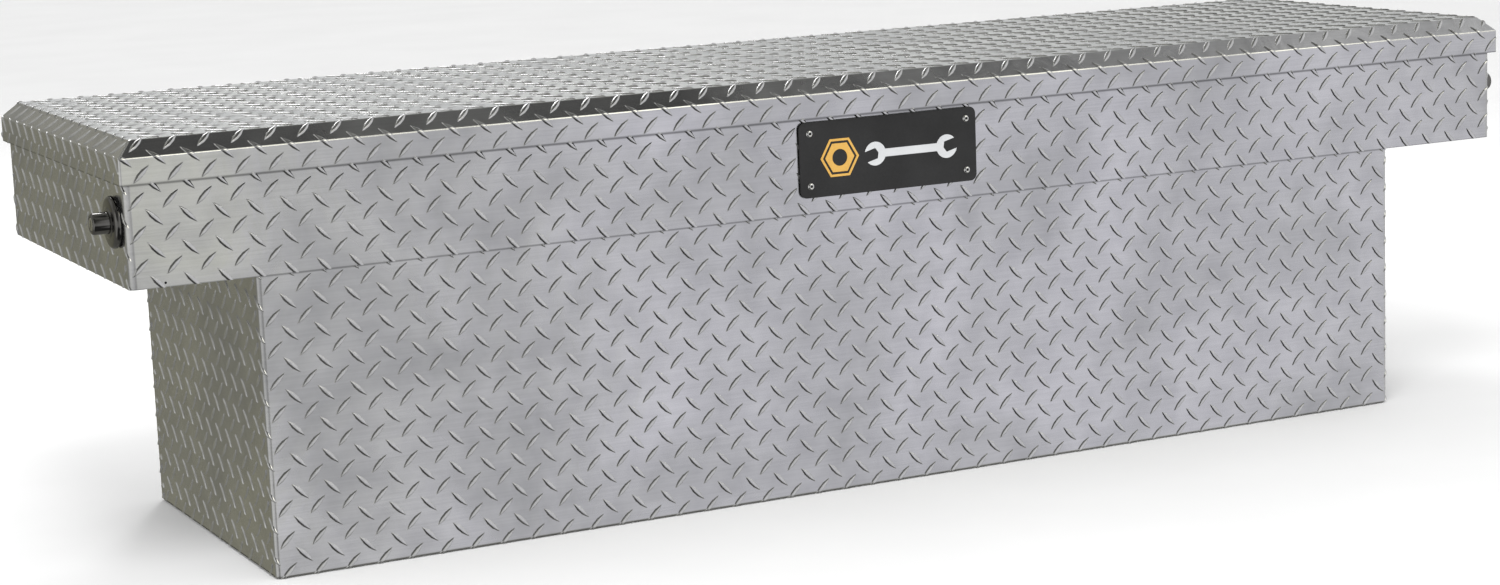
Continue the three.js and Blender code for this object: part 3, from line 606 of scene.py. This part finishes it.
def build_lid():
    half_x, half_y = lid_high.x, lid_high.y
    base, top = lid_low.z, lid_high.z
    bevel = 0.017
    shoulder = top - bevel
    margin = 0.002
    path = [
        (-half_y, base), (-half_y, shoulder), (-half_y + bevel, top),
        (half_y - bevel, top), (half_y, shoulder), (half_y, base),
    ]
    section = Fold(path, LID_FOLD, (-half_y, base), side=-1)
    path = [(0, top), (half_x - bevel, top), (half_x, shoulder), (half_x, base)]
    flap = Fold(path, LID_FOLD, (0, top), side=-1)
    bm = sheet_mesh("lid_shell")

    def strip(p, q, h):
        y, z = section.at(q, h)
        return p, y, z

    cuts = [(1, b) for b in section.bends]
    inner = half_x - bevel - margin
    outer = half_x - margin
    length = section.lengths[-1]
    first, second = section.find((-half_y, shoulder)), section.find((-half_y + bevel, top))
    tread(bm, rectangle((-inner, 0), (inner, length)), LID_PHASE, strip, cuts)
    for flip in (False, True):
        a, b, c = (length, length - first, length - second) if flip else (0, first, second)
        for side in (-1, 1):
            corner = [(side * inner, a), (side * outer, a), (side * outer, b), (side * inner, c)]
            if (side > 0) == flip:
                corner.reverse()
            tread(bm, corner, LID_PHASE, strip, cuts)
    to_y = section.find((0, top))

    def end(p, q, h):
        x, z = flap.at(np.abs(p), h)
        return np.sign(p) * x, q - to_y, z

    near = flap.find((inner, top))
    bent = flap.find((half_x, shoulder))
    deep = flap.lengths[-1]
    narrow, wide = half_y - bevel - margin, half_y - margin
    for side in (-1, 1):
        corner = [
            (side * near, to_y - narrow), (side * bent, to_y - wide), (side * deep, to_y - wide),
            (side * deep, to_y + wide), (side * bent, to_y + wide), (side * near, to_y + narrow),
        ]
        if side < 0:
            corner.reverse()
        tread(bm, corner, LID_PHASE, end, [(0, side * b) for b in flap.bends])
    finish_sheet(bm, "lid_shell", "lid")


def build_sheets():
    build_front()
    build_rear()
    for name, side in SIDES.items():
        build_end(name, side)
        build_saddle(name, side)
    build_tub()
    build_lid()


build_sheets()


# ---- pieces turned, cut from plate or carried over ----
def dress(node, material, bevel=0.0):
    """A CAD node that stays, with its own material and its hard edges eased."""
    piece = frame["nodes"][node]
    if not piece.material_slots:
        piece.data.materials.append(material)
    for slot in piece.material_slots:
        slot.material = material
    if bevel:
        ease(piece, bevel)


def ease(piece, width):
    bevel = piece.modifiers.new("eased", "BEVEL")
    bevel.width = width
    bevel.segments = 2
    bevel.limit_method = "ANGLE"
    bevel.angle_limit = math.radians(34)
    bevel.use_clamp_overlap = True


def mesh_piece(name, bm, body, materials, replaces=(), round_angle=34):
    bmesh.ops.recalc_face_normals(bm, faces=bm.faces[:])
    object_from(name, finished_mesh(bm, name, round_angle), body, materials, replaces)


def facing(centre, axis):
    """Places a shape drawn about local Z so that Z runs along axis."""
    return Matrix.Translation(centre) @ Vector(axis).to_track_quat("Z", "X").to_matrix().to_4x4()


def turn(bm, profile, place, sides=48, looped=False, recess=None):
    """Adds a turned solid from (radius, along) points. Faces within the recess radius take material 1."""
    rings = []
    for radius, along in profile:
        if radius == 0:
            rings.append([bm.verts.new(place @ Vector((0, 0, along)))])
            continue
        angles = [2 * math.pi * k / sides for k in range(sides)]
        rings.append([
            bm.verts.new(place @ Vector((radius * math.cos(a), radius * math.sin(a), along))) for a in angles
        ])
    pairs = list(zip(rings, rings[1:])) + ([(rings[-1], rings[0])] if looped else [])
    radii = [radius for radius, _ in profile] + [profile[0][0]]
    for index, (a, b) in enumerate(pairs):
        if len(a) == len(b) == 1:
            continue
        for k in range(sides):
            n = (k + 1) % sides
            corners = [a[k % len(a)], a[n % len(a)], b[n % len(b)], b[k % len(b)]]
            face = bm.faces.new(list(dict.fromkeys(corners)))
            if recess and max(radii[index], radii[index + 1]) <= recess:
                face.material_index = 1


def rivet(bm, place, radius=0.004):
    """Head of a pop rivet, with the stub of its mandrel in a recess painted near black as shade."""
    height = 0.0018
    hole = radius * 0.4
    turn(bm, [
        (0, -0.0004), (radius, -0.0004), (radius, height * 0.3), (radius * 0.86, height * 0.72),
        (radius * 0.62, height * 0.95), (hole * 1.25, height), (hole, height * 0.9),
        (hole * 0.9, height * 0.35), (hole * 0.5, height * 0.45), (0, height * 0.5),
    ], place, sides=24, recess=hole)


def centre_of(node):
    low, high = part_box(node)
    return (low + high) / 2


def build_plate():
    dress("name_plate", PLATE, bevel=0.0004)
    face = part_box("name_plate")[0].y
    for number in range(1, 5):
        node = f"name_plate_rivet_{number}"
        low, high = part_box(node)
        middle = (low + high) / 2
        bm = bmesh.new()
        rivet(bm, facing((middle.x, face, middle.z), (0, -1, 0)), radius=(high.z - low.z) / 2)
        turn(bm, [(0, 0.0002), (0.002, 0.0002), (0.002, high.y - face), (0, high.y - face)],
             facing((middle.x, face, middle.z), (0, 1, 0)), sides=24)
        mesh_piece(node + "_head", bm, "box", [BRIGHT, RECESS_SHADE], [node])


def plate_shape(name, outline, holes, place, thickness, material):
    """A flat raised shape on the name plate, from an outline in the plate's own plane."""
    bm = bmesh.new()
    layers = [[bm.verts.new(place @ Vector((x, y, z))) for x, y in outline] for z in (0, thickness)]
    count = len(outline)
    if holes:
        inner = [[bm.verts.new(place @ Vector((x, y, z))) for x, y in holes] for z in (0, thickness)]
        for k in range(count):
            n = (k + 1) % count
            for layer, hole in zip(layers, inner):
                bm.faces.new([layer[k], layer[n], hole[n], hole[k]])
            bm.faces.new([inner[0][k], inner[0][n], inner[1][n], inner[1][k]])
    else:
        caps = [bm.faces.new(layer) for layer in layers]
        bm.normal_update()
        bmesh.ops.triangulate(bm, faces=caps)
    for k in range(count):
        n = (k + 1) % count
        bm.faces.new([layers[0][k], layers[0][n], layers[1][n], layers[1][k]])
    mesh_piece(name, bm, "box", [material], round_angle=0)


def circle(radius, count=48):
    return [(radius * math.cos(2 * math.pi * k / count), radius * math.sin(2 * math.pi * k / count))
            for k in range(count)]


def hexagon(radius, count=48):
    """Regular hexagon with as many points as a circle of that count."""
    points = []
    for k in range(count):
        angle = 2 * math.pi * k / count
        reach = radius * math.cos(math.pi / 6) / math.cos((angle % (math.pi / 3)) - math.pi / 6)
        points.append((reach * math.cos(angle), reach * math.sin(angle)))
    return points


def spanner(length, head, shaft, jaw):
    """Outline of a double open-ended spanner."""
    tilt = math.radians(15)
    gap = math.asin(jaw / head)
    neck = math.asin(shaft / head)
    points = []
    for k in range(13):
        points.append(-math.pi + neck + (tilt - gap + math.pi - neck) * k / 12)
    after = [tilt + gap + (math.pi - neck - tilt - gap) * k / 12 for k in range(13)]
    slot = [(-head * 0.12, -jaw), (-head * 0.32, 0), (-head * 0.12, jaw)]
    cosine, sine = math.cos(tilt), math.sin(tilt)
    turned = [(x * cosine - y * sine, x * sine + y * cosine) for x, y in slot]
    outline = [(head * math.cos(a), head * math.sin(a)) for a in points] + turned
    outline += [(head * math.cos(a), head * math.sin(a)) for a in after]
    right = [(x + length / 2 - head, y) for x, y in outline]
    return right + [(-x, -y) for x, y in right]


def build_emblem():
    """A generic mark: a gold hexagon nut and a light spanner, with no lettering."""
    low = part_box("name_plate")[0]
    middle = centre_of("name_plate")
    thickness = 0.0004
    up = Matrix.Rotation(math.pi / 2, 4, "X")
    nut = Matrix.Translation((middle.x - 0.0635, low.y, middle.z)) @ up
    plate_shape("emblem_nut", hexagon(0.0245), hexagon(0.0215), nut, thickness, GOLD)
    plate_shape("emblem_nut_bore", hexagon(0.0185), circle(0.0095), nut, thickness, GOLD)
    tool = Matrix.Translation((middle.x + 0.0285, low.y, middle.z)) @ up
    plate_shape("emblem_spanner", spanner(0.12, 0.0135, 0.0045, 0.0062), [], tool, thickness, IVORY)


def build_lock(name, side):
    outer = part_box(name + "_end_panel")[1 if side > 0 else 0].x
    middle = centre_of(name + "_lock_escutcheon")
    place = facing((outer, middle.y, middle.z), (side, 0, 0))
    low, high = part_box(name + "_lock_escutcheon")
    rim, proud = (high.z - low.z) / 2, max(abs(low.x), abs(high.x)) - abs(outer)
    bore, barrel, keyway = 0.0116, 0.015, 0.0058
    back = min(abs(low.x), abs(high.x)) - abs(outer)
    bm = bmesh.new()
    turn(bm, [
        (keyway, back), (barrel, back), (barrel, 0.0015), (rim - 0.0006, 0.0015), (rim, 0.0021),
        (rim, 0.0047), (rim - 0.0006, 0.006), (rim - 0.002, 0.0072), (rim - 0.0042, 0.0079),
        (0.0172, 0.008), (0.0162, 0.0081), (0.0152, 0.0088), (0.0142, proud),
        (bore + 0.0005, proud), (bore, proud - 0.0005), (bore, back + 0.004), (keyway, back + 0.004),
    ], place, sides=64, looped=True)
    mesh_piece(name + "_lock_rose", bm, "box", [BLACK_CHROME], [name + "_lock_escutcheon"])
    low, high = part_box(name + "_push_button")
    radius = (high.z - low.z) / 2
    tip, nose = max(abs(low.x), abs(high.x)) - abs(outer), min(abs(low.x), abs(high.x)) - abs(outer)
    pocket, depth = 0.0073, 0.012
    bm = bmesh.new()
    turn(bm, [
        (0, nose), (0.005, nose + 0.006), (0.005, -0.008), (radius, -0.008), (radius, tip - 0.0026),
        (radius - 0.0004, tip - 0.0014), (radius - 0.0013, tip - 0.0004), (radius - 0.0026, tip),
        (pocket + 0.0008, tip), (pocket, tip - 0.0008), (pocket, tip - depth), (0, tip - depth),
    ], place, sides=64)
    mesh_piece(name + "_button_cap", bm, name + "_button", [BLACK_CHROME],
               [name + "_push_button"])
    dress(name + "_key_cylinder", KEY, bevel=0.0003)
    dress(name + "_lock_gasket", RUBBER, bevel=0.0003)
    dress(name + "_lock_nut", ZINC, bevel=0.0006)
    coil(name + "_button_coil", name + "_button_spring", 0.0012, 3)


def coil(name, node, wire, turns):
    """A wire spring along X in the space of its CAD node."""
    low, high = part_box(node)
    middle = (low + high) / 2
    radius = (high.z - low.z - wire) / 2
    data = bpy.data.curves.new(name, "CURVE")
    data.dimensions = "3D"
    data.bevel_depth = wire / 2
    data.bevel_resolution = 3
    data.use_fill_caps = True
    steps = 24 * turns
    spline = data.splines.new("POLY")
    spline.points.add(steps)
    for k, point in enumerate(spline.points):
        angle = 2 * math.pi * turns * k / steps
        x = low.x + wire / 2 + (high.x - low.x - wire) * k / steps
        point.co = (x, middle.y + radius * math.cos(angle), middle.z + radius * math.sin(angle), 1)
    spline.use_smooth = True
    piece = add_object(name, data)
    data.materials.append(ZINC)
    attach(piece, "box")
    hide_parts(node)


def build_strut(name, side):
    """Tube and rod along the strut's line, each with a ball socket open to the near end of the box."""
    joints = {j["name"]: j for j in frame["joints"]}
    pivot = Vector(joints[name + "_strut_swing"]["pos_m"])
    line = Vector(joints[name + "_strut_extend"]["axis"]).normalized()
    stud = centre_of(name + "_strut_lid_stud")
    length = (Vector((pivot.x, stud.y, stud.z)) - pivot).length
    along = facing(pivot, line)
    socket = [
        (0.0054, 0.007), (0.007, 0.007), (0.008, 0.0058), (0.008, -0.0058),
        (0.007, -0.007), (0, -0.007), (0, -0.004), (0.0054, -0.004),
    ]
    tube = bmesh.new()
    turn(tube, [
        (0, 0.004), (0.005, 0.004), (0.005, 0.013), (0.0058, 0.014), (0.0084, 0.0146), (0.009, 0.0156),
        (0.009, 0.172), (0.0094, 0.1726), (0.0094, 0.1744), (0.009, 0.175), (0.009, 0.1762), (0.0084, 0.1782),
        (0.007, 0.179), (0.0044, 0.179), (0.0044, 0.02), (0, 0.02),
    ], along)
    turn(tube, socket, facing(pivot, (side, 0, 0)), looped=True)
    mesh_piece(name + "_strut_tube", tube, name + "_strut_cylinder", [BLACK_STEEL],
               [name + "_strut_cylinder"])
    rod = bmesh.new()
    rod_end = length - 0.004
    turn(rod, [(0, 0.024), (0.0036, 0.024), (0.004, 0.0246), (0.004, rod_end), (0, rod_end)], along)
    turn(rod, [
        (0, length - 0.02), (0.005, length - 0.02), (0.0055, length - 0.0194), (0.0055, length - 0.0045),
        (0, length - 0.0045),
    ], along)
    turn(rod, socket, facing(pivot + line * length, (side, 0, 0)), looped=True)
    mesh_piece(name + "_strut_bar", rod, name + "_strut_rod", [ROD], [name + "_strut_rod"])
    dress(name + "_strut_lid_stud", ZINC, bevel=0.0003)
    dress(name + "_strut_body_mount", ZINC, bevel=0.0006)
    dress(name + "_strut_lid_bracket", ZINC, bevel=0.0006)


def rounded_ring(bm, half, radius, z, steps=6):
    ring = []
    for index, (sx, sy) in enumerate(((1, 1), (-1, 1), (-1, -1), (1, -1))):
        for k in range(steps + 1):
            angle = math.pi / 2 * (index + k / steps)
            x = sx * (half[0] - radius) + radius * math.cos(angle)
            y = sy * (half[1] - radius) + radius * math.sin(angle)
            ring.append(bm.verts.new((x, y, z)))
    return ring


def build_seal():
    """Bulb seal on the body's rim: a flat foot with a hollow-looking bulb pressed up against the lid."""
    low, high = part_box("weather_seal")
    width, corner = 0.011, 0.016
    foot = 0.0022
    bulb = (width / 2, (low.z + foot + high.z) / 2, 0.0048, (high.z - low.z - foot) / 2)
    section = [(0, low.z), (0, low.z + foot), (0.0012, low.z + foot)]
    for k in range(15):
        angle = math.radians(215 - 250 * k / 14)
        section.append((bulb[0] + bulb[2] * math.cos(angle), bulb[1] + bulb[3] * math.sin(angle)))
    section += [(width - 0.0012, low.z + foot), (width, low.z + foot), (width, low.z)]
    bm = bmesh.new()
    rings = [
        rounded_ring(bm, (high.x - inset, high.y - inset), corner - inset, z) for inset, z in section
    ]
    for a, b in zip(rings, rings[1:] + rings[:1]):
        for k in range(len(a)):
            n = (k + 1) % len(a)
            bm.faces.new([a[k], a[n], b[n], b[k]])
    mesh_piece("bulb_seal", bm, "box", [RUBBER], ["weather_seal"])


def build_hinge():
    """The hinge's leaves and pin stay; the rivets that hold them are added along both leaves."""
    for node in ("hinge_body_leaf", "hinge_lid_leaf"):
        dress(node, MILL, bevel=0.0003)
    dress("hinge_pin", ZINC)
    low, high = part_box("hinge_body_leaf")
    count = 17
    inset = 0.025  # first and last rivet from the leaf's ends
    pitch = (high.x - low.x - 2 * inset) / (count - 1)
    # Measured in from the barrel's outer line, which leaves the body's heads clear of the flat leaf.
    body_y = high.y - 0.0025
    body_z = low.z + 0.011
    lid_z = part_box("hinge_lid_leaf")[1].z - 0.0085
    body, lid = bmesh.new(), bmesh.new()
    for x in [low.x + inset + k * pitch for k in range(count)]:
        rivet(body, facing((x, body_y, body_z), (0, 1, 0)))
        rivet(lid, facing((x, lid_high.y, lid_z), (0, 1, 0)))
    mesh_piece("hinge_body_rivets", body, "box", [MILL, RECESS_SHADE])
    mesh_piece("hinge_lid_rivets", lid, "lid", [MILL, RECESS_SHADE])


def build_inside():
    dress("lid_stiffener", MILL)
    for node in ("release_shaft", "left_latch_hook", "right_latch_hook", "left_trip_arm", "right_trip_arm",
                 "left_striker", "right_striker"):
        dress(node, ZINC, bevel=0.0004)
    for place in ("left", "middle", "right"):
        dress(place + "_shaft_bracket", ZINC, bevel=0.0005)
    for name in SIDES:
        dress(name + "_drain_plug", RUBBER, bevel=0.0005)
    coil("shaft_return_coil", "shaft_return_spring", 0.0018, 7)


build_plate()
build_emblem()
build_hinge()
build_seal()
build_inside()
for name, side in SIDES.items():
    build_lock(name, side)
    build_strut(name, side)


# ---- studio: pale floor, soft light and the camera ----
def build_floor():
    size = 40
    mesh = bpy.data.meshes.new("floor")
    z = cad_bounds[0].z - LUG_HEIGHT
    corners = [(x, y, z) for x, y in rectangle((-size, -size), (size, size))]
    mesh.from_pydata(corners, [], [(0, 1, 2, 3)])
    floor = add_object("floor", mesh)
    look = Look("floor_paint", Roughness=0.9)
    look.colour(look.ramp(look.noise(3, detail=3), [(0.3, (0.86, 0.86, 0.86)), (0.7, (0.89, 0.89, 0.89))]))
    mesh.materials.append(look.material)
    floor.visible_glossy = False


# What the metal reflects: patches of the room by direction, each with the angles in degrees at which
# it is full and gone.
ROOM = (
    ((-0.93, -0.3, -0.12), 26, 44, (0.6, 0.6, 0.58)),
    ((-0.5, -0.85, -0.12), 18, 30, (0.44, 0.44, 0.43)),
    ((-0.7, 0.6, 0.42), 10, 30, (0.42, 0.42, 0.4)),
    ((1, 0.2, 0), 40, 60, (0.52, 0.52, 0.52)),
    ((0.68, 0.68, -0.26), 22, 36, (0.6, 0.6, 0.6)),
    ((-0.68, -0.62, -0.4), 12, 26, (0.55, 0.55, 0.55)),
    ((-0.42, -0.7, 0.55), 20, 32, (0.09, 0.09, 0.085)),
    ((0.64, -0.77, -0.09), 32, 50, (0.61, 0.61, 0.61)),
    ((-0.2, -0.65, -0.72), 26, 36, (0.05, 0.05, 0.05)),
    ((0.32, -0.77, -0.56), 8, 20, (0.5, 0.5, 0.5)),
    ((0.3, -0.86, 0.42), 12, 22, (0.5, 0.5, 0.5)),
    ((0.45, -0.85, -0.12), 8, 20, (0.64, 0.635, 0.69)),
    ((0.22, -0.96, -0.12), 4, 9, (0.58, 0.585, 0.51)),
    ((0.4, 0.9, 0.2), 18, 34, (0.64, 0.65, 0.64)),
    ((-0.15, 0.93, 0.33), 9, 18, (0.28, 0.275, 0.235)),
    ((-0.28, 0.95, -0.2), 12, 26, (0.225, 0.22, 0.17)),
    ((0.32, -0.15, 0.93), 15, 23, (0.05, 0.05, 0.048)),
    ((0.9, -0.1, 0.45), 24, 31, (0.6, 0.6, 0.6)),
    ((0.44, -0.68, 0.58), 11, 19, (1.9, 1.86, 1.6)),
    ((0.06, 0.72, 0.69), 6, 11, (5.5, 5.5, 5.5)),
)
BARE_ROOM = (0.24, 0.24, 0.22)


def build_world():
    world = bpy.data.worlds.new("studio")
    bpy.context.scene.world = world
    world.use_nodes = True
    tree = world.node_tree
    nodes, links = tree.nodes, tree.links
    nodes.clear()
    direction = nodes.new("ShaderNodeTexCoord").outputs["Generated"]
    colour = nodes.new("ShaderNodeRGB").outputs[0]
    colour.default_value = (*BARE_ROOM, 1)
    for towards, full, gone, shade in ROOM:
        dot = nodes.new("ShaderNodeVectorMath")
        dot.operation = "DOT_PRODUCT"
        dot.inputs[1].default_value = Vector(towards).normalized()
        links.new(direction, dot.inputs[0])
        share = nodes.new("ShaderNodeMapRange")
        share.interpolation_type = "SMOOTHSTEP"
        share.inputs["From Min"].default_value = math.cos(math.radians(gone))
        share.inputs["From Max"].default_value = math.cos(math.radians(full))
        links.new(dot.outputs["Value"], share.inputs["Value"])
        mix = nodes.new("ShaderNodeMix")
        mix.data_type = "RGBA"
        links.new(share.outputs["Result"], mix.inputs["Factor"])
        links.new(colour, mix.inputs[6])
        mix.inputs[7].default_value = (*shade, 1)
        colour = mix.outputs[2]
    room = nodes.new("ShaderNodeBackground")
    links.new(colour, room.inputs["Color"])
    plain = nodes.new("ShaderNodeBackground")
    plain.inputs["Color"].default_value = (1, 1, 1, 1)
    plain.inputs["Strength"].default_value = 1.0
    path = nodes.new("ShaderNodeLightPath")
    choose = nodes.new("ShaderNodeMixShader")
    links.new(path.outputs["Is Glossy Ray"], choose.inputs["Fac"])
    links.new(plain.outputs[0], choose.inputs[1])
    links.new(room.outputs[0], choose.inputs[2])
    links.new(choose.outputs[0], nodes.new("ShaderNodeOutputWorld").inputs["Surface"])


def build_lamp(name, place, size, watts):
    data = bpy.data.lights.new(name, "AREA")
    data.shape = "DISK"
    data.size = size
    data.energy = watts
    lamp = add_object(name, data)
    lamp.visible_glossy = False
    lamp.location = place
    lamp.rotation_mode = "QUATERNION"
    lamp.rotation_quaternion = (-Vector(place)).to_track_quat("-Z", "Y")


def build_camera():
    azimuth, elevation, roll = (math.radians(v) for v in (26.617, 9.953, -2.202))
    level_part = math.cos(elevation)
    forward = Vector((
        math.sin(azimuth) * level_part, math.cos(azimuth) * level_part, -math.sin(elevation),
    ))
    level = Vector((math.cos(azimuth), -math.sin(azimuth), 0))
    up = level.cross(forward)
    right = math.cos(roll) * level + math.sin(roll) * up
    above = math.cos(roll) * up - math.sin(roll) * level
    data = bpy.data.cameras.new("camera")
    data.lens = 72.37
    data.sensor_width = 36
    camera = add_object("camera", data)
    place = Vector((-1.6531, -3.1860, 0.8180))
    axes = Matrix((right, above, -forward)).transposed()
    camera.matrix_world = Matrix.Translation(place) @ axes.to_4x4()
    bpy.context.scene.camera = camera


build_floor()
build_world()
build_lamp("key_light", (-1.2, -2.2, 3.2), 1.6, 60)
build_lamp("back_light", (0.6, 2.6, 2.4), 0.7, 30)
build_camera()
bpy.context.scene.view_settings.view_transform = "Standard"
